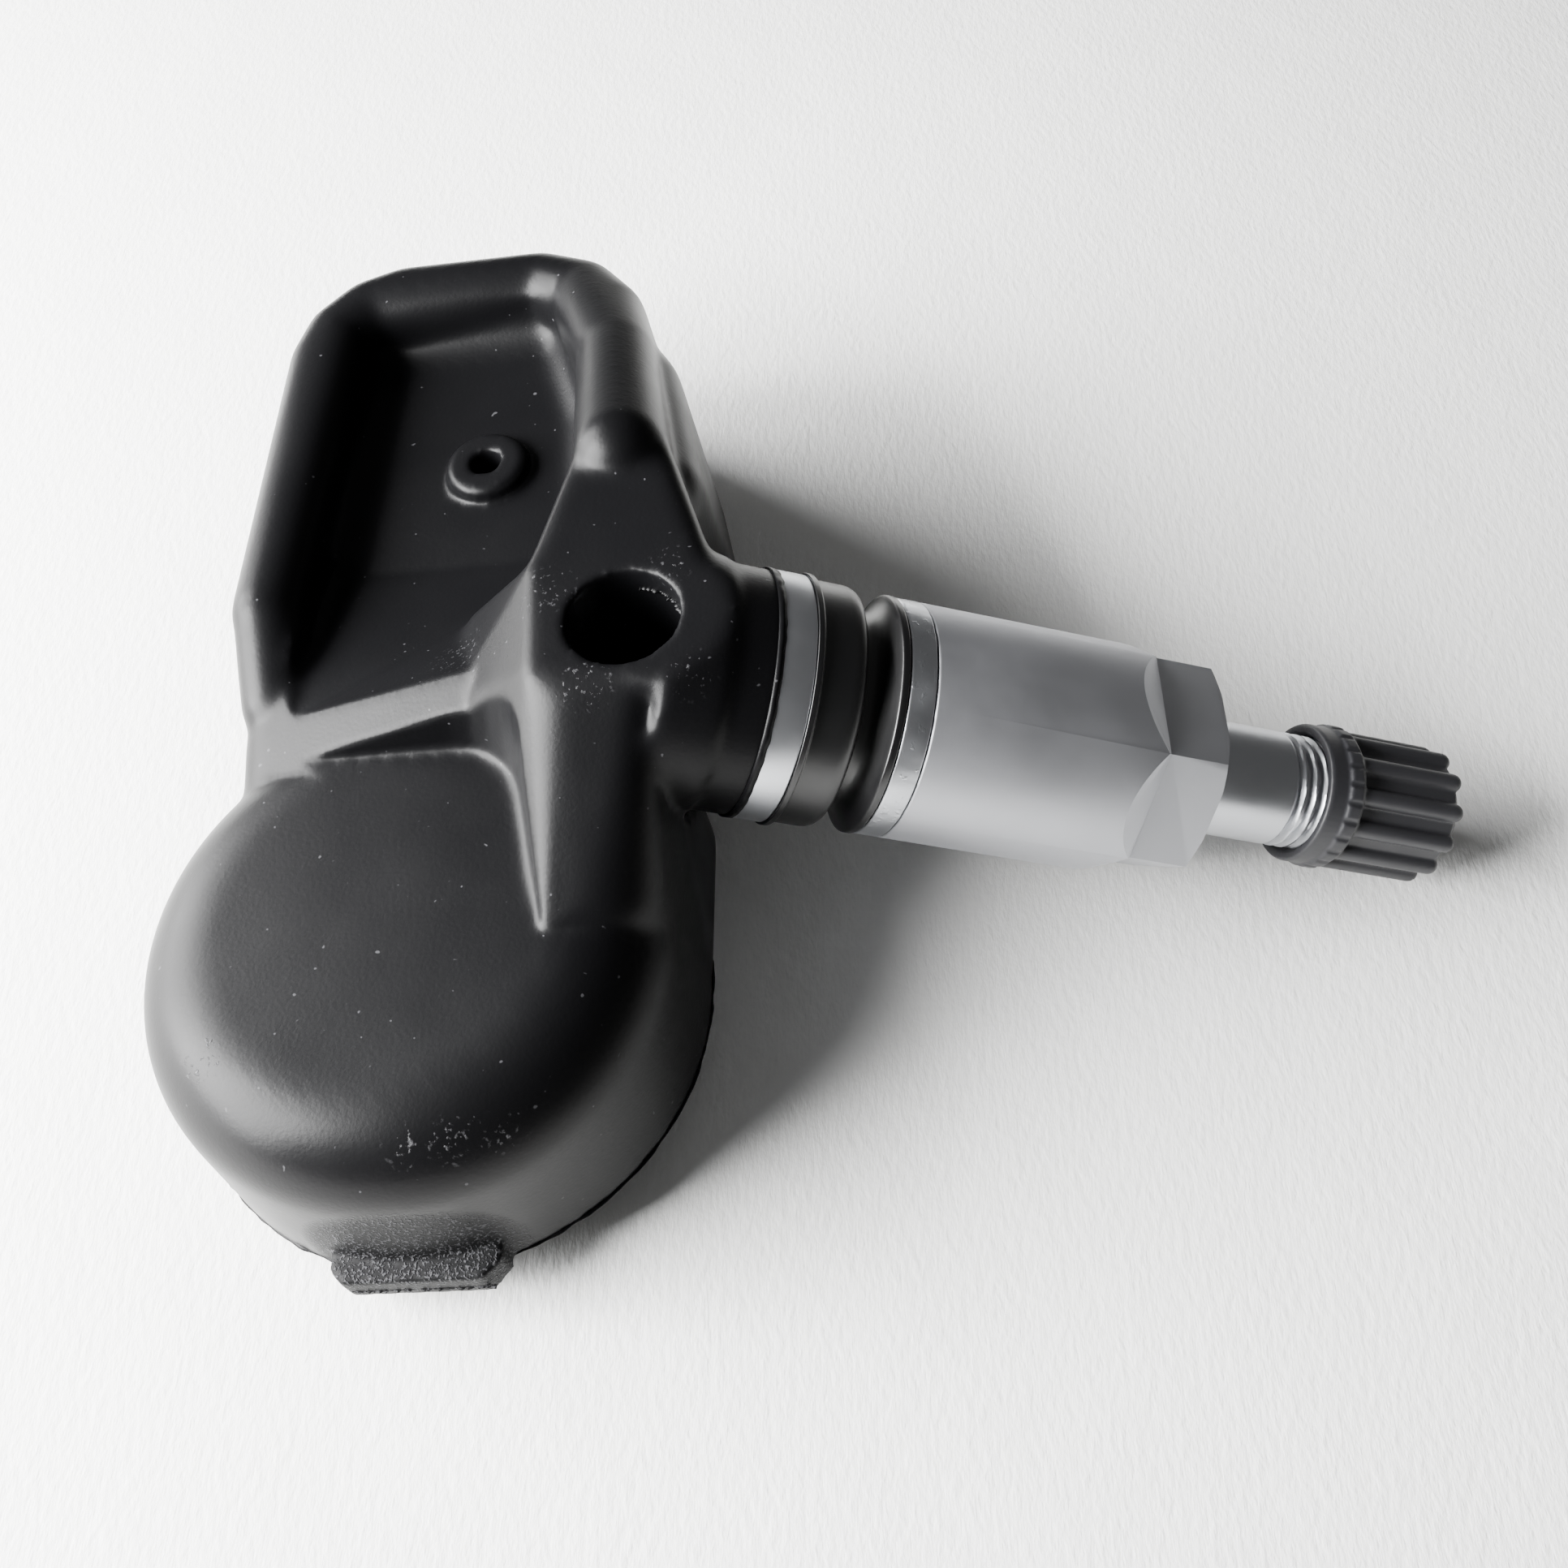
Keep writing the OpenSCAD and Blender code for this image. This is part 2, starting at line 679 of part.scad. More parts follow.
module grommet() {
  lip = grommet_lip_d / 2;
  big = grommet_d / 2;
  waist = grommet_waist_d / 2;
  disc = grommet_disc_d / 2;
  c = grommet_collar_t;
  color("#202022") rested() on_axis() turned(concat([[shank_r + lay_fit, 0], [lip, 0], [lip, 0.4],
    [big, 0.4]], arc(big - 0.8, c - 0.8, 0.8, 0, 90, 5), [[waist, c], [waist, c + 0.6]],
    [for (i = [1:4]) [waist + (disc - waist) * (1 - cos(i * 22.5)),
      c + 0.6 + (grommet_len - 0.5 - c - 0.6) * sin(i * 22.5)]],
    [[disc, grommet_len], [shank_r + lay_fit, grommet_len]]));
}

module nut_washer() {
  r = washer_d / 2;
  color("#c8cace") rested() on_axis() translate([0, 0, washer_at]) turned([[shank_r + 2 * run_fit, 0],
    [r - 0.25, 0], [r, 0.25], [r, washer_t - 0.25], [r - 0.25, washer_t],
    [shank_r + 2 * run_fit, washer_t]]);
}

// sleeve with six milled flats that run out on sloped shoulders
module nut() {
  r = nut_d / 2;
  flat = hex_af / 2;
  color("#bfc1c5") rested() on_axis() difference() {
    turned([[0, nut_at], [r - 0.3, nut_at], [r, nut_at + 0.3], [r, nut_end - 0.5],
      [r - 0.9, nut_end], [0, nut_end]]);
    for (i = [0:5]) rotate([0, 0, i * 60]) translate([0, 6, 0]) rotate([90, 0, 0])
      linear_extrude(12) polygon([[flat, hex_at], [flat, nut_end + 1], [flat + 3, nut_end + 1],
        [flat + 3, hex_at - 5.2]]);
    turned([[0, nut_at - 1], [shank_r + run_fit, nut_at - 1],
      [shank_r + run_fit, shank_len + 0.6], [stem_r + 0.15, shank_len + 1],
      [stem_r + 0.15, nut_end + 1], [0, nut_end + 1]]);
  }
}

// valve cap with long ribs and a ring of beads at its mouth
module cap() {
  body_r = rib_at + 0.05;
  bead_r = bead_d / 2;
  color("#47474c") rested() on_axis() difference() {
    union() {
      turned([[0, cap_at], [bead_r - 0.3, cap_at], [bead_r - 0.2, cap_at + 0.2],
        [bead_r - 0.2, cap_at + 1.3], [bead_r, cap_at + 1.5], [bead_r, cap_at + 2.3],
        [bead_r - 0.35, cap_at + 2.7], [body_r, cap_at + 2.7],
        [body_r, rib_end + 0.15], [body_r - 0.7, cap_end], [0, cap_end]]);
      for (i = [0:rib_count - 1]) rotate([0, 0, i * 360 / rib_count]) {
        translate([rib_at, 0, 0]) rotate_extrude($fn = 24) polygon(concat([[0, cap_at + 2],
          [rib_r, cap_at + 2]], arc(0, rib_end, rib_r, 0, 90, 4)));
      }
    }
    for (i = [0:bead_count - 1]) rotate([0, 0, (i + 0.5) * 360 / bead_count])
      translate([bead_r + 0.1, 0, cap_at + 1.2]) cylinder(r = 0.25, h = 1.7, $fn = 16);
    turned([[0, cap_at - 1], [stem_r + run_fit + 0.3, cap_at - 1],
      [stem_r + run_fit + 0.3, cap_at], [stem_r + run_fit, cap_at + 0.3],
      [stem_r + run_fit, stem_len + 0.7], [0, stem_len + 0.7]]);
  }
}

// rubber disc in the end of the cap
module cap_seal() {
  r = stem_r - 0.2;
  color("#2a2a2c") rested() on_axis() turned([[0, stem_len + 0.05], [r, stem_len + 0.05],
    [r, stem_len + 0.65], [0, stem_len + 0.65]]);
}

housing();
potting_resin();
circuit_board();
battery_can();
battery_lid();
battery_gasket();
battery_tab_positive();
battery_tab_negative();
coil_core();
coil_winding();
antenna();
sensor_chip();
port_gasket();
port_filter();
crystal();
chip_capacitors();
valve_stem();
core_body();
core_pin();
core_cup();
core_spring();
core_seal();
grommet();
nut_washer();
nut();
cap();
cap_seal();
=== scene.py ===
# %% [markdown]
# # Tyre pressure sensor on a clamp-in valve
# The object is a black moulded housing on an aluminium valve stem. It lies on
# white paper, on the left edge of its housing and on the tip of its cap. The
# solids come from the part's own frame, so every piece made here starts from
# the places that the frame gives.

# %% Load the frame
import json
import math

import bmesh
import bpy
import numpy as np
from mathutils import Matrix, Vector, noise


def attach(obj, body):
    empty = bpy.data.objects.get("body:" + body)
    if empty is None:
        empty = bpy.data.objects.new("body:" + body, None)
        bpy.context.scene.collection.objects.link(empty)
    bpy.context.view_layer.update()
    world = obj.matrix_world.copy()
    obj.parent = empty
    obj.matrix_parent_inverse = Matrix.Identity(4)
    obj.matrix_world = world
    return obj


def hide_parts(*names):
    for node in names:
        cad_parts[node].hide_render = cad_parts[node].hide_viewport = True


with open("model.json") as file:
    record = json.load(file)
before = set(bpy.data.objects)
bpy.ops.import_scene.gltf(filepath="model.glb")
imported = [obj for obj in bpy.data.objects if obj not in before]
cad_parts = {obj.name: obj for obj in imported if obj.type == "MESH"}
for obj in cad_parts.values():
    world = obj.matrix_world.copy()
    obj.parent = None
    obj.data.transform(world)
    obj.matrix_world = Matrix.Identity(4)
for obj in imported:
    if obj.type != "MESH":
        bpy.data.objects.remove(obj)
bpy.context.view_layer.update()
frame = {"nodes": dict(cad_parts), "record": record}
MM = 0.001
print("nodes", sorted(frame["nodes"]))

# %% [markdown]
# Two sets of axes serve all the pieces. One runs along the stem, with zero on
# the face of its sealing flange. The other stands on the flat base of the
# housing, which lies tilted on the table. Both are read from the record, so
# nothing has to be fitted by eye.

# %% Axes of the stem and of the housing
record = frame["record"]
mounts = {m["name"]: m for m in record["mounts"]}
joints = {j["name"]: j for j in record["behaviour"]["joints"]}
GROMMET_FRONT = 3.4
SEAT_HEIGHT = 12.8
stem_dir = Vector(joints["cap_travel"]["axis"]).normalized()
seat = Vector(mounts["rim_seat"]["pos_m"]) - stem_dir * GROMMET_FRONT * MM
base_up = -Vector(mounts["underside"]["axis"]).normalized()


def axes(origin, x, z):
    m = Matrix((x, z.cross(x), z)).transposed().to_4x4()
    m.translation = origin
    return m


# zero of the stem is the face of its flange; zero of the base lies straight under it
stem_axes = axes(seat, Vector((stem_dir.z, 0, -stem_dir.x)), stem_dir)
base_axes = axes(seat - base_up * SEAT_HEIGHT * MM, Vector((base_up.z, 0, -base_up.x)), base_up)
to_world = {"stem": stem_axes @ Matrix.Scale(MM, 4), "base": base_axes @ Matrix.Scale(MM, 4)}
slope = math.degrees(math.asin(-stem_dir.z))
print("seat", [round(v / MM, 2) for v in seat], "slope", round(slope, 2))

# %% [markdown]
# The camera looks down on the object from the near side. The photograph was
# taken from close by, so a short lens on a full-frame sensor gives the same
# strong perspective: the dome looks large and the cap small.

# %% Camera
camera = bpy.data.objects.new("camera", bpy.data.cameras.new("camera"))
bpy.context.collection.objects.link(camera)
CAMERA_FROM_SEAT = (0.28, -60.0, 82.55)
CAMERA_TILT = 33
camera.location = seat + Vector(CAMERA_FROM_SEAT) * MM
camera.rotation_euler = (math.radians(CAMERA_TILT), 0, 0)
camera.data.sensor_width = 36
camera.data.lens = 37.27
camera.data.clip_start = 0.005
bpy.context.scene.camera = camera
print("camera", [round(v, 4) for v in camera.location])

# %% [markdown]
# Every finish starts from what the real one is. Colours are written as sRGB
# hex values, as a paint chart gives them, and one function turns them into
# the linear values that the shader wants. One more function adds a node, its
# settings and its links.


# %% Helpers for colour and nodes
def linear(hex_colour):
    """Turns an sRGB hex value such as "#a0a0a0" into linear red, green, blue and alpha."""
    out = []
    for i in (1, 3, 5):
        c = int(hex_colour[i:i + 2], 16) / 255
        out.append(c / 12.92 if c <= 0.04045 else ((c + 0.055) / 1.055) ** 2.4)
    return (*out, 1.0)


def add(mat, kind, settings=None, links=None):
    node = mat.node_tree.nodes.new(kind)
    for key, value in (settings or {}).items():
        if isinstance(key, int) or key in node.inputs.keys():
            node.inputs[key].default_value = value
        else:
            setattr(node, key, value)
    for socket, (source, out) in (links or {}).items():
        mat.node_tree.links.new(source.outputs[out], node.inputs[socket])
    return node


def finish(name, colour, metallic=0.0, roughness=0.5, **more):
    mat = bpy.data.materials.new(name)
    mat.use_nodes = True
    shader = mat.node_tree.nodes["Principled BSDF"]
    shader.inputs["Base Color"].default_value = linear(colour)
    shader.inputs["Metallic"].default_value = metallic
    shader.inputs["Roughness"].default_value = roughness
    for key, value in more.items():
        shader.inputs[key].default_value = value
    mat.diffuse_color = linear(colour)
    return mat, shader


def ramp(mat, source, out, low, high, at=(0.0, 1.0)):
    """Maps the range at of an output to low..high, and holds it there outside."""
    return add(mat, "ShaderNodeMapRange", {"From Min": at[0], "From Max": at[1],
                                           "To Min": low, "To Max": high}, {"Value": (source, out)})


def tint(mat, factor, out, dark, light):
    node = add(mat, "ShaderNodeMix", {"data_type": "RGBA"})
    node.inputs[6].default_value = linear(dark)
    node.inputs[7].default_value = linear(light)
    mat.node_tree.links.new(factor.outputs[out], node.inputs[0])
    return node


def join(mat, node, out, shader, socket):
    mat.node_tree.links.new(node.outputs[out], shader.inputs[socket])


def grain(mat, size_mm, detail=4.0, stretch=None):
    """Noise whose blobs are about size_mm across."""
    place = add(mat, "ShaderNodeTexCoord")
    if stretch:
        place = add(mat, "ShaderNodeMapping", {"Scale": stretch}, {"Vector": (place, "Object")})
    return add(mat, "ShaderNodeTexNoise", {"Scale": 1 / (size_mm * MM) / 2, "Detail": detail},
               {"Vector": (place, 0 if stretch else "Object")})


def bump(mat, height, out, shader, depth_mm, strength=1.0, under=None):
    """Relief of depth_mm on the shader, on top of the relief that is under it."""
    node = add(mat, "ShaderNodeBump", {"Strength": strength, "Distance": depth_mm * MM},
               {"Height": (height, out)})
    if under:
        mat.node_tree.links.new(under.outputs["Normal"], node.inputs["Normal"])
    join(mat, node, "Normal", shader, "Normal")
    return node


def near(mat, axes_name, point_mm, reach_mm):
    """1 at a point of the stem's or the housing's axes, falling to 0 at reach_mm."""
    place = add(mat, "ShaderNodeTexCoord")
    spot = to_world[axes_name] @ Vector(point_mm)
    far = add(mat, "ShaderNodeVectorMath", {"operation": "DISTANCE", 1: spot},
              {0: (place, "Object")})
    return ramp(mat, far, "Value", 1.0, 0.0, (0.35 * reach_mm * MM, reach_mm * MM))


def maths(mat, operation, a, b):
    """A math node of two outputs, or of one output and a number."""
    node = add(mat, "ShaderNodeMath", {"operation": operation, "use_clamp": True}, {0: a})
    if isinstance(b, tuple):
        mat.node_tree.links.new(b[0].outputs[b[1]], node.inputs[1])
    else:
        node.inputs[1].default_value = b
    return node


print("linear value of a mid grey", round(linear("#808080")[0], 3))

# %% [markdown]
# The housing is nylon filled with glass fibre, injection moulded in a
# spark-eroded tool. That gives a black that is never glossy: a fine even
# grain breaks up each highlight, and the rounded edges catch a soft grey
# sheen. Scuffs sit where a hand or a tool touched it: on the near round of
# the dome and beside the air pocket. The tab keeps the tool's coarse spark
# texture, so it sparkles.

# %% Glass-filled nylon
# where each scuff lies in the housing's axes, and how far it reaches, in mm
SCUFFS = [((-20.6, -28.3, 12.7), 1.6), ((-18.0, -27.9, 12.4), 1.8), ((-15.5, -27.3, 11.7), 1.6),
          ((-33.3, -22.8, 13.5), 1.8), ((-9.9, -4.5, 22.1), 2.0), ((-12.7, 2.6, 22.3), 2.2),
          ((-3.8, -4.5, 22.0), 1.8), ((-19.6, 2.6, 16.2), 2.6), ((-5.2, 3.6, 22.3), 1.6)]
TAB_MIDDLE = (-23.2, -31.6, 2.0)


def glass_filled_nylon():
    """Black of 0.2% with a gloss far under that of plain nylon, as the tool's texture eats it."""
    mat, shader = finish("nylon_glass_filled_moulded", "#070708", roughness=0.33, IOR=1.45)
    shader.inputs["Specular IOR Level"].default_value = 0.11
    fine = grain(mat, 0.13, 3)
    broad = grain(mat, 4.0, 3)
    dust = ramp(mat, grain(mat, 0.2, 0), "Fac", 0.0, 0.3, (0.84, 0.88))
    sand = grain(mat, 0.1, 1)
    marks = grain(mat, 0.17, 4)
    worn = None
    for point, reach in SCUFFS:
        spot = near(mat, "base", point, reach)
        worn = maths(mat, "ADD", (worn, 0), (spot, 0)) if worn else spot
    worn = maths(mat, "MULTIPLY", (worn, 0), (ramp(mat, marks, "Fac", 0.0, 1.0, (0.6, 0.74)), 0))
    tab = ramp(mat, near(mat, "base", TAB_MIDDLE, 9.0), 0, 0.0, 1.0, (0.3, 0.5))
    spark = maths(mat, "MULTIPLY", (tab, 0), (ramp(mat, sand, "Fac", 0.0, 1.0, (0.5, 0.68)), 0))
    light = maths(mat, "MAXIMUM", (maths(mat, "MULTIPLY", (worn, 0), 0.4), 0), (dust, 0))
    light = maths(mat, "MAXIMUM", (light, 0), (maths(mat, "MULTIPLY", (spark, 0), 0.3), 0))
    join(mat, tint(mat, light, 0, "#070708", "#5c5c5f"), 2, shader, "Base Color")
    rough = ramp(mat, broad, "Fac", 0.33, 0.4, (0.3, 0.7))
    join(mat, maths(mat, "ADD", (rough, 0), (maths(mat, "MULTIPLY", (tab, 0), 0.2), 0)),
         0, shader, "Roughness")
    soft = bump(mat, broad, "Fac", shader, 0.06, 0.5)
    skin = bump(mat, fine, "Fac", shader, 0.016, 0.6, soft)
    dents = bump(mat, worn, 0, shader, 0.05, 0.8, skin)
    bump(mat, spark, 0, shader, 0.07, 0.9, dents)
    return mat


nylon = glass_filled_nylon()
print("nylon nodes", len(nylon.node_tree.nodes))

# %% [markdown]
# Each solid of the housing has hard joins where its forms meet, but a
# moulding has none: steel tools are polished and resin shrinks, so every join
# is a round. A voxel remesh turns the solid into one even skin. A few passes
# of smoothing round all its edges a little. Many more passes then melt the
# broad forms into each other, except where the real moulding is crisp: the
# step beside the dome, the flat top's edge, the air pocket, the pressure port
# and the tab.

# %% Skin of the housing
# start and end of each crisp edge in the housing's axes, and how far it reaches, in mm
CRISP = [((-31, -3, 14), (-17.5, -2.6, 17), 1.0), ((-17.5, -2.6, 17), (-14.2, -5.5, 20), 1.0),
         ((-14.2, -6, 20.5), (-13.2, -16.6, 13.8), 1.0),
         ((-14.9, -3.5, 22.3), (-14.9, 4.6, 22.3), 0.6),
         ((-31, 0.4, 15), (-16, 1.4, 19.5), 0.4), ((-29, 13.4, 12.8), (-14, 13.0, 12.8), 0.4),
         ((-28, -31.4, 1.3), (-18, -31.4, 1.3), 3.6), ((-21, 22.1, 12), (-21, 22.1, 14.4), 3.4),
         ((-8, 0, 22), (-8, 0, 12), 4.0), ((-4.5, 0, 12), (2, 0, 12), 8.6)]


def baked(obj, name):
    """A new object that holds obj's mesh with its modifiers applied."""
    bpy.context.view_layer.update()
    seen = obj.evaluated_get(bpy.context.evaluated_depsgraph_get())
    mesh = bpy.data.meshes.new_from_object(seen)
    mesh.name = name
    new = bpy.data.objects.new(name, mesh)
    bpy.context.collection.objects.link(new)
    bpy.data.objects.remove(obj)
    return new


def copy_of(node):
    source = frame["nodes"][node]
    new = bpy.data.objects.new(node + "_copy", source.data.copy())
    new.data.transform(source.matrix_world)
    bpy.context.collection.objects.link(new)
    return new


def dress(obj, mat, body, node=None, sharp=None):
    obj.data.materials.clear()
    obj.data.materials.append(mat)
    for poly in obj.data.polygons:
        poly.use_smooth = True
    if sharp:
        obj.data.set_sharp_from_angle(angle=math.radians(sharp))
    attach(obj, body)
    if node:
        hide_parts(node)
    print(obj.name, len(obj.data.polygons), "faces")
    return obj


def softness(points):
    """For points in the housing's axes: 0 near a crisp edge, 1 well away from all."""
    soft = np.clip((points[:, 2] - 0.6) / 2.0, 0.15, 1.0)
    for start, end, reach in CRISP:
        a, b = np.array(start, float), np.array(end, float)
        along = np.clip((points - a) @ (b - a) / ((b - a) @ (b - a)), 0, 1)
        gap = np.linalg.norm(points - a - along[:, None] * (b - a), axis=1)
        soft = np.minimum(soft, np.clip((gap - reach) / 1.6, 0.04, 1.0))
    return soft


def moulded_skin(node, name, voxel_mm, passes, soft_passes=0):
    rough = copy_of(node)
    remesh = rough.modifiers.new("remesh", "REMESH")
    remesh.mode = "VOXEL"
    remesh.voxel_size = voxel_mm * MM
    skin = baked(rough, name + "_rough")
    if soft_passes:
        flat = np.empty(len(skin.data.vertices) * 3)
        skin.data.vertices.foreach_get("co", flat)
        back = np.array(to_world["base"].inverted())
        weights = softness(flat.reshape(-1, 3) @ back[:3, :3].T + back[:3, 3])
        group = skin.vertex_groups.new(name="soft")
        for level in range(1, 21):
            chosen = np.nonzero(np.rint(weights * 20) == level)[0].tolist()
            if chosen:
                group.add(chosen, level / 20, "REPLACE")
    for label, count in (("edges", passes), ("forms", soft_passes)):
        if count:
            smooth = skin.modifiers.new(label, "SMOOTH")
            smooth.factor = 0.5
            smooth.iterations = count
            if label == "forms":
                smooth.vertex_group = "soft"
    return baked(skin, name)


housing_skin = moulded_skin("housing", "housing_skin", 0.22, 5, 45)
dress(housing_skin, nylon, "sensor_body", "housing")

# %% [markdown]
# Where the two halves of the mould met, a thin flash of nylon squeezed out.
# It runs ragged round the foot of the dome, creeps over the edge of the
# stem's flange, and leaves a torn line on the tab and inside the air pocket.
# Each flash is a thin ribbon whose free edge follows a seeded noise.


# %% Flash of the mould
def ragged(k, step, seed, depth):
    return depth * max(0.0, 0.55 + 0.9 * noise.noise(Vector((k * step, seed, 0.5))))


def ribbon(name, rings, axes_name):
    """A closed strip: each ring of four points is one cut through it."""
    bm = bmesh.new()
    made = [[bm.verts.new(p) for p in ring] for ring in rings]
    for a, b in zip(made, made[1:]):
        for i in range(4):
            bm.faces.new((a[i], a[(i + 1) % 4], b[(i + 1) % 4], b[i]))
    bm.faces.new(made[0][::-1])
    bm.faces.new(made[-1])
    bmesh.ops.recalc_face_normals(bm, faces=bm.faces)
    mesh = bpy.data.meshes.new(name)
    bm.to_mesh(mesh)
    bm.free()
    mesh.transform(to_world[axes_name])
    obj = bpy.data.objects.new(name, mesh)
    bpy.context.collection.objects.link(obj)
    return obj


def round_ribbon(name, middle, radius, low, high, start, end, depth, seed, inward=False, step=0.5):
    """A ribbon round an axis: its root is sunk in the wall and its free edge is ragged."""
    rings = []
    for i in range(int(abs(end - start) / step) + 1):
        a = math.radians(start + i * step)
        out = radius + (-1 if inward else 1) * ragged(i, 0.11, seed, depth)
        root = radius + (0.3 if inward else -0.3)
        c, s = math.cos(a), math.sin(a)
        rings.append([(middle[0] + q * c, middle[1] + q * s, z)
                      for q, z in ((root, low), (out, low), (out, high), (root, high))])
    return ribbon(name, rings, "base")


# the dome and the pocket in the housing's axes, in mm
DOME_MIDDLE, DOME_FOOT_R = (-23.5, -14), 17.42
POCKET_MIDDLE, POCKET_R = (-8, 0), 3.42

foot_flash = round_ribbon("housing_foot_flash", DOME_MIDDLE, DOME_FOOT_R, 0.12, 0.2,
                          -168, 12, 0.13, 1.0, step=0.35)
dress(foot_flash, nylon, "sensor_body")
pocket_flash = round_ribbon("housing_pocket_flash", POCKET_MIDDLE, POCKET_R, 20.6, 20.7,
                            -75, 80, 0.3, 5.0, True)
dress(pocket_flash, nylon, "sensor_body")

TAB_FACE = -32.5
rings = []
for i in range(90):
    x = -27.4 + i * 0.1
    torn = TAB_FACE - 0.1 - ragged(i, 0.5, 9.0, 0.16)
    rings.append([(x, TAB_FACE, 0.95), (x, torn, 0.97), (x, torn, 1.03), (x, TAB_FACE, 1.06)])
tab_flash = ribbon("housing_tab_flash", rings, "base")
dress(tab_flash, nylon, "sensor_body")

rings = []
for i in range(361):
    a = math.radians(i)
    edge = -2.0 + 0.07 + 0.13 * noise.noise(Vector((math.cos(a) * 9, math.sin(a) * 9, 3.0)))
    rings.append([(q * math.cos(a), q * math.sin(a), t)
                  for q, t in ((7.7, -2.4), (7.9, -2.4), (7.89, edge), (7.7, edge))])
flange_creep = ribbon("housing_flange_creep", rings, "stem")
dress(flange_creep, nylon, "sensor_body")

# %% [markdown]
# The turned pieces are lathed from profiles along the stem. Each corner of a
# profile has its own radius, because a cutter leaves a small round there, and
# that round is what draws a bright line on the edge of a washer.


# %% Lathe
SEGMENTS = 160


def rounded(points, steps=4):
    """Turns (t, r, radius of the corner) into a closed profile with rounded corners."""
    out = []
    for i, (t, r, fillet) in enumerate(points):
        here = Vector((t, r))
        before = Vector(points[i - 1][:2]) - here
        after = Vector(points[(i + 1) % len(points)][:2]) - here
        if not fillet:
            out.append(here)
            continue
        start = here + before.normalized() * min(fillet, before.length * 0.48)
        end = here + after.normalized() * min(fillet, after.length * 0.48)
        for k in range(steps + 1):
            u = k / steps
            out.append(start * (1 - u) ** 2 + here * 2 * u * (1 - u) + end * u ** 2)
    return out


def lathe(name, profile, shape=None, segments=SEGMENTS):
    """A ring-shaped solid round the stem. shape(t, r, angle) may move a point."""
    bm = bmesh.new()
    made = []
    for t, r in profile:
        ring = []
        for k in range(segments):
            a = 2 * math.pi * k / segments
            q, s = shape(t, r, a) if shape else (r, t)
            ring.append(bm.verts.new((q * math.cos(a), q * math.sin(a), s)))
        made.append(ring)
    for i, ring in enumerate(made):
        other = made[(i + 1) % len(made)]
        for k in range(segments):
            n = (k + 1) % segments
            bm.faces.new((ring[k], ring[n], other[n], other[k]))
    bmesh.ops.recalc_face_normals(bm, faces=bm.faces)
    mesh = bpy.data.meshes.new(name)
    bm.to_mesh(mesh)
    bm.free()
    mesh.transform(to_world["stem"])
    obj = bpy.data.objects.new(name, mesh)
    bpy.context.collection.objects.link(obj)
    return obj


print("corners are rounded into", len(rounded([(0, 0, 0), (0, 1, 0.1), (1, 1, 0.1)])), "points")

# %% [markdown]
# The stem carries an 8 mm valve thread of 0.794 mm pitch under its cap. Two
# of its crests show between the cap and the plain part. A coarser thread of
# 1 mm pitch lies under the nut, and shows when the nut is screwed out. A
# thread is made from rings set close together: each of their points moves in
# by the depth of the groove at its place along the helix.

# %% Stem, washer and seal
STEM_R = 3.875
SHANK_R = 4.5
# start and end along the stem, pitch, depth, and the radius it is cut into
THREADS = [(34.6, 44.4, 0.794, 0.42, STEM_R), (6.1, 15.3, 1.0, 0.5, SHANK_R)]


def threaded(t, r, angle):
    for start, end, pitch, depth, radius in THREADS:
        if start <= t <= end and abs(r - radius) < 0.01:
            u = (t / pitch - angle / (2 * math.pi) + 0.1) % 1.0
            crest = min(1.0, max(0.0, (abs(u - 0.5) * 2 - 0.2) / 0.62))
            fade = min(1.0, (t - start) / 0.5, (end - t) / 0.4)
            return r - depth * (1 - crest) * fade, t
    return r, t


profile = [(-6.4, 1.8, 0), (-6.4, 4.2, 0.2), (-6.0, 4.6, 0.1), (-4.6, 4.6, 0.1), (-4.2, 4.0, 0.1),
           (-3.2, 4.0, 0.1), (-2.8, 4.6, 0.1), (-2.0, 4.6, 0), (-2.0, 7.85, 0.12), (0, 7.85, 0.12),
           (0, SHANK_R, 0), (6.0, SHANK_R, 0)]
profile = rounded(profile) + [Vector((6.1 + 0.08 * i, SHANK_R)) for i in range(116)]
profile += rounded([(15.4, SHANK_R, 0.1), (16, STEM_R, 0.1), (34.5, STEM_R, 0)])
profile += [Vector((34.6 + 0.062 * i, STEM_R)) for i in range(159)]
profile += rounded([(44.5, STEM_R, 0.1), (45, 3.35, 0.05), (45, 2.95, 0.05), (44.6, 2.65, 0),
                    (38.2, 2.65, 0), (37, 1.8, 0)])
stem_piece = lathe("stem_turned", profile, threaded)


def burred(t, r, angle):
    """The stamping left a slight burr on the washer's outer edge, on the side of the nut."""
    if r > 7.3 and t > 7:
        r += 0.04 * noise.noise(Vector((math.cos(angle) * 14, math.sin(angle) * 14, t)))
    return r, t


washer_piece = lathe("nut_washer_ring", rounded([
    (5.96, 4.62, 0), (5.96, 7.6, 0.2), (7.63, 7.6, 0.1), (7.63, 4.62, 0)], 5), burred)

seal_piece = lathe("grommet_moulded", rounded([
    (0.02, 4.55, 0), (0.02, 8.0, 0.06), (0.4, 8.0, 0.1), (0.5, 7.7, 0.08),
    (GROMMET_FRONT, 7.7, 1.0), (GROMMET_FRONT, 6.0, 0.25), (4.0, 6.0, 0.3),
    (4.35, 6.12, 0.3), (4.8, 6.5, 0.4), (5.2, 7.1, 0.4),
    (5.43, 7.65, 0.12), (5.92, 7.65, 0.14), (5.92, 4.55, 0)], 5))
print("stem", len(stem_piece.data.polygons), "faces")

# %% [markdown]
# The nut is a sleeve with six milled flats at its outer end. The cutter ran
# out over a sloped shoulder, so each flat ends in a curved edge. The sleeve is
# lathed first, the flats are cut from it, and a narrow bevel breaks the edges.

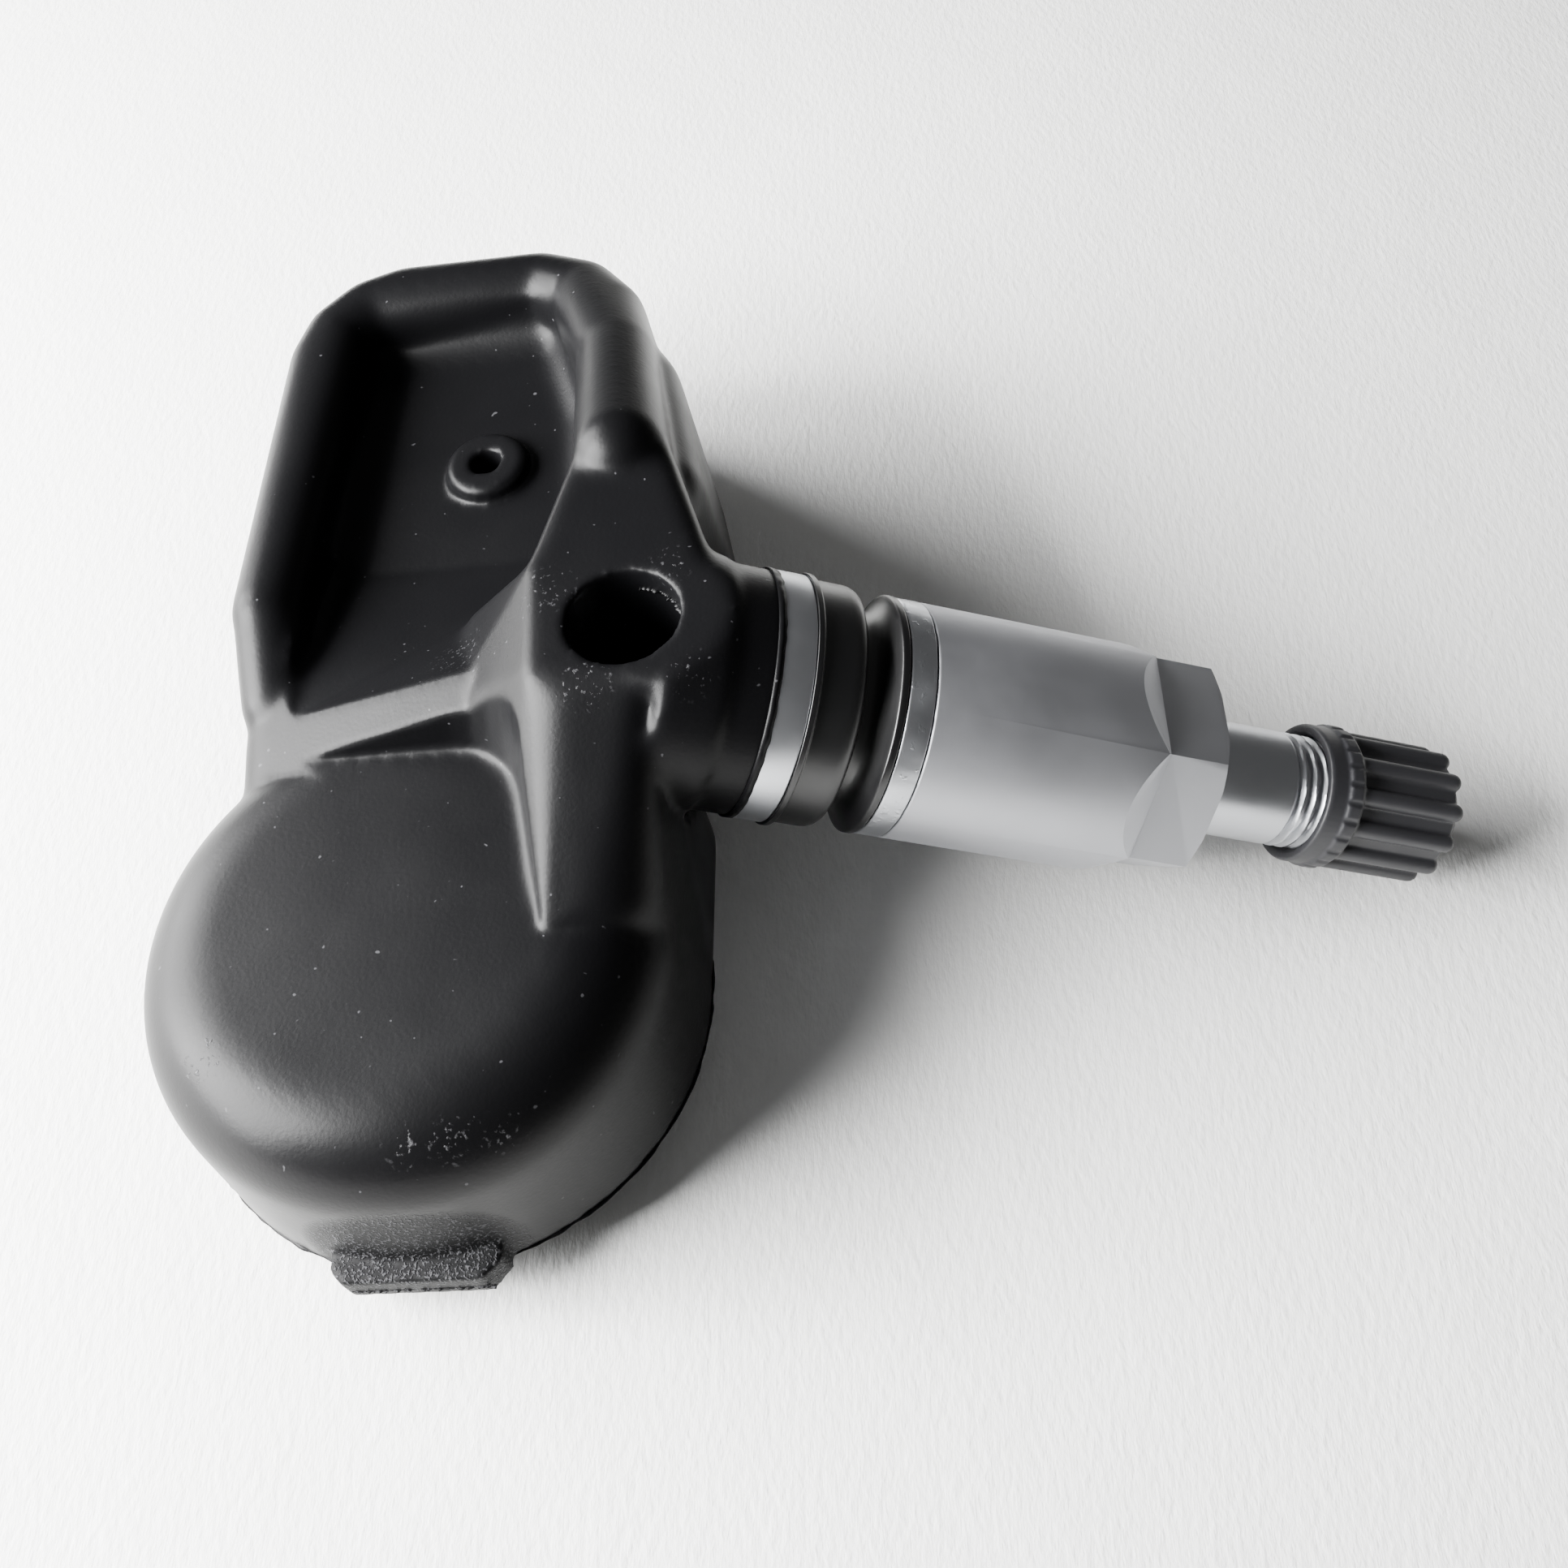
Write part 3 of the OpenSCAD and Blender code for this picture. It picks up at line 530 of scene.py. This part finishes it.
# %% Nut
NUT_START, NUT_END, NUT_R, FLAT = 7.7, 27.8, 7.6, 6.5
HEX_START = NUT_END - 4.4
sleeve = lathe("sleeve", rounded([
    (NUT_START, 4.56, 0), (NUT_START, NUT_R, 0.22),
    (NUT_END - 0.5, NUT_R, 0), (NUT_END, NUT_R - 0.9, 0.1),
    (NUT_END, 4.05, 0), (17, 4.05, 0), (16.6, 4.56, 0)]), segments=180)
# a cutter's outline, as distance from the axis and place along it, and its half width
OUTSIDE, RUN_OUT, HALF_WIDTH = 3, 5.2, 6
outline = [(FLAT, HEX_START), (FLAT, NUT_END + 1),
           (FLAT + OUTSIDE, NUT_END + 1), (FLAT + OUTSIDE, HEX_START - RUN_OUT)]
bm = bmesh.new()
for side in range(6):
    turn = Matrix.Rotation(math.radians(60 * side), 3, "Z")
    front = [bm.verts.new(turn @ Vector((x, -HALF_WIDTH, z))) for x, z in outline]
    back = [bm.verts.new(turn @ Vector((x, HALF_WIDTH, z))) for x, z in outline]
    bm.faces.new(front)
    bm.faces.new(back[::-1])
    for i in range(4):
        bm.faces.new((front[i], back[i], back[(i + 1) % 4], front[(i + 1) % 4]))
bmesh.ops.recalc_face_normals(bm, faces=bm.faces)
cutter_mesh = bpy.data.meshes.new("cutter")
bm.to_mesh(cutter_mesh)
bm.free()
cutter_mesh.transform(to_world["stem"])
cutter = bpy.data.objects.new("cutter", cutter_mesh)
bpy.context.collection.objects.link(cutter)
cut = sleeve.modifiers.new("flats", "BOOLEAN")
cut.operation = "DIFFERENCE"
cut.solver = "EXACT"
cut.use_self = True
cut.object = cutter
edge = sleeve.modifiers.new("edges", "BEVEL")
edge.width = 0.07 * MM
edge.segments = 2
edge.limit_method = "ANGLE"
edge.angle_limit = math.radians(14)
nut_piece = baked(sleeve, "nut_sleeve")
bpy.data.objects.remove(cutter)
print("nut", len(nut_piece.data.polygons), "faces")

# %% [markdown]
# The metals differ by how they were cut. The stem is turned aluminium. The nut
# is too, but a satin nickel plating makes it reflect more softly. Both show
# very fine rings round the axis. The washer is plain steel, pitted a little
# and scuffed. The rings come from a noise stretched round the axis. The metals
# inside, such as the cell's can and the brass of the core, are made the same
# way with other colours.


# %% Metals
def turned_metal(name, colour, roughness, ring_mm, rub=0.1, pits=0.0):
    mat, shader = finish(name, colour, metallic=1.0, roughness=roughness)
    place = add(mat, "ShaderNodeTexCoord")
    turn = add(mat, "ShaderNodeVectorRotate", {"rotation_type": "EULER_XYZ", "invert": True},
               {"Vector": (place, "Object")})
    turn.inputs["Rotation"].default_value = stem_axes.to_euler()
    squeeze = add(mat, "ShaderNodeVectorMath", {"operation": "MULTIPLY", 1: (0.02, 0.02, 1)},
                  {0: (turn, "Vector")})
    lines = add(mat, "ShaderNodeTexNoise", {"Scale": 1 / (ring_mm * MM) / 2, "Detail": 3.0},
                {"Vector": (squeeze, "Vector")})
    wear = grain(mat, 2.4, 4)
    join(mat, ramp(mat, wear, "Fac", roughness - rub, roughness + rub, (0.3, 0.7)),
         "Result", shader, "Roughness")
    soft = bump(mat, lines, "Fac", shader, 0.003, 0.5)
    fine = bump(mat, grain(mat, 0.09, 2), "Fac", shader, 0.004, 0.5, soft)
    if pits:
        holes = ramp(mat, grain(mat, 0.3, 3), "Fac", 0.0, 1.0, (0.6, 0.7))
        bump(mat, holes, 0, shader, pits, 0.8, fine)
    return mat


nut_metal = turned_metal("aluminium_satin_nickel_plated", "#a6a7ab", 0.5, 0.15, 0.04)
stem_metal = turned_metal("aluminium_turned", "#b6b8bc", 0.32, 0.12, 0.04)
washer_metal = turned_metal("steel_plain_scuffed", "#b0b2b6", 0.32, 0.2, 0.1, 0.02)
cell_metal = turned_metal("steel_nickel_plated", "#c9ccd0", 0.25, 0.3)
brass_metal = turned_metal("brass_turned", "#c2a55a", 0.3, 0.1)
spring_metal = turned_metal("spring_steel_drawn", "#d0d2d6", 0.25, 0.1)
dress(stem_piece, stem_metal, "sensor_body", "valve_stem", 35)
dress(washer_piece, washer_metal, "nut_slide", "nut_washer", 40)
dress(nut_piece, nut_metal, "nut_body", "nut", 30)

# %% [markdown]
# Rubber, the cap's plastic and the small parts inside need less. Each still
# has a grain of its own, because no real surface has one roughness all over.
# The seal is moulded nitrile, black and a little shiny. The cap is moulded
# polyamide, a touch lighter and duller than the housing. Inside are cast
# resin, the board under its green mask, fired ceramic and pressed PTFE, which
# show only when the part is taken apart.


# %% Rubber, plastics and the rest
def moulded(name, colour, roughness, grain_mm, depth_mm, ior=1.5):
    mat, shader = finish(name, colour, roughness=roughness, IOR=ior)
    fine = grain(mat, grain_mm, 3)
    broad = grain(mat, grain_mm * 14, 2)
    join(mat, ramp(mat, broad, "Fac", roughness - 0.06, roughness + 0.06, (0.3, 0.7)),
         "Result", shader, "Roughness")
    bump(mat, fine, "Fac", shader, depth_mm, 0.6)
    return mat


seal_rubber = moulded("rubber_nitrile_moulded", "#060607", 0.34, 0.2, 0.008, 1.5)
cap_plastic = moulded("polyamide_dark_grey_moulded", "#222225", 0.5, 0.15, 0.012, 1.5)
resin = moulded("epoxy_resin_cast", "#1b1b1d", 0.25, 0.8, 0.02, 1.55)
board = moulded("glass_laminate_solder_mask", "#1f5a38", 0.3, 0.4, 0.01, 1.5)
chip = moulded("epoxy_moulded_package", "#2c2c30", 0.5, 0.1, 0.005, 1.55)
ferrite = moulded("ferrite_sintered", "#4a4a4e", 0.55, 0.15, 0.01, 1.6)
copper = turned_metal("copper_enamelled_wire", "#b06a3a", 0.35, 0.15)
ptfe = moulded("ptfe_pressed", "#e8e8e4", 0.5, 0.2, 0.005, 1.38)
silicone = moulded("silicone_moulded", "#8d5a4a", 0.5, 0.3, 0.01, 1.41)
ceramic = moulded("ceramic_fired", "#b79a72", 0.4, 0.1, 0.004, 1.6)
dress(seal_piece, seal_rubber, "sensor_body", "grommet", 50)
cap_skin = moulded_skin("cap", "cap_skin", 0.09, 4)
dress(cap_skin, cap_plastic, "cap_body", "cap")

kept = {
    "potting_resin": resin, "circuit_board": board, "battery_can": cell_metal,
    "battery_lid": cell_metal, "battery_gasket": chip, "battery_tab_positive": cell_metal,
    "battery_tab_negative": cell_metal, "coil_core": ferrite, "coil_winding": copper,
    "antenna": brass_metal, "sensor_chip": chip, "port_gasket": silicone, "port_filter": ptfe,
    "crystal": cell_metal, "chip_capacitors": ceramic, "core_body": brass_metal,
    "core_pin": brass_metal, "core_cup": seal_rubber, "core_spring": spring_metal,
    "core_seal": ptfe, "cap_seal": seal_rubber,
}
for node, mat in kept.items():
    obj = frame["nodes"][node]
    if not obj.material_slots:
        obj.data.materials.append(mat)
    for material_slot in obj.material_slots:
        material_slot.material = mat
print("kept nodes", len(kept))

# %% [markdown]
# The object lies on thick white drawing paper. Its tooth is a shallow relief
# of short fibres that run one way, over a swell of a few millimetres.


# %% Paper
def paper():
    mat, shader = finish("paper_white_toothed", "#e9e9e7", roughness=0.9, IOR=1.45)
    swell = grain(mat, 5.0, 3)
    tooth = grain(mat, 0.42, 4, (1.6, 0.7, 1.0))
    fibre = grain(mat, 0.16, 3, (2.6, 0.5, 1.0))
    soft = bump(mat, swell, "Fac", shader, 0.35, 0.5)
    rough = bump(mat, tooth, "Fac", shader, 0.11, 0.7, soft)
    bump(mat, fibre, "Fac", shader, 0.03, 0.6, rough)
    return mat


FLOOR = 3.0
floor_mesh = bpy.data.meshes.new("floor")
corners = [(x * FLOOR, y * FLOOR, 0) for x, y in ((-1, -1), (1, -1), (1, 1), (-1, 1))]
floor_mesh.from_pydata(corners, [], [(0, 1, 2, 3)])
floor = bpy.data.objects.new("floor", floor_mesh)
bpy.context.collection.objects.link(floor)
floor.data.materials.append(paper())

# %% [markdown]
# A bright window stands close by on the near left, rather low, so the rounds
# of the housing that face it shine and its shadow runs to the right. A
# second one on the far left, a little weaker and wider, whitens the paper
# there. The room gives little else, which keeps the hollow of the tray nearly
# black.


# %% Light
def soft_light(name, place, target, size, power):
    data = bpy.data.lights.new(name, "AREA")
    data.size = size
    data.energy = power
    light = bpy.data.objects.new(name, data)
    bpy.context.collection.objects.link(light)
    light.location = place
    light.rotation_euler = (Vector(target) - Vector(place)).to_track_quat("-Z", "Y").to_euler()
    print(name, power, "W")


soft_light("near_window", (-0.196, -0.062, 0.103), (0.0, 0.0, 0.01), 0.14, 5.0)
soft_light("far_window", (-0.25, 0.06, 0.100), (0.0, 0.04, 0.0), 0.19, 4.6)
world = bpy.data.worlds.new("room")
world.use_nodes = True
world.node_tree.nodes["Background"].inputs["Color"].default_value = (1, 1, 1, 1)
world.node_tree.nodes["Background"].inputs["Strength"].default_value = 0.14
bpy.context.scene.world = world
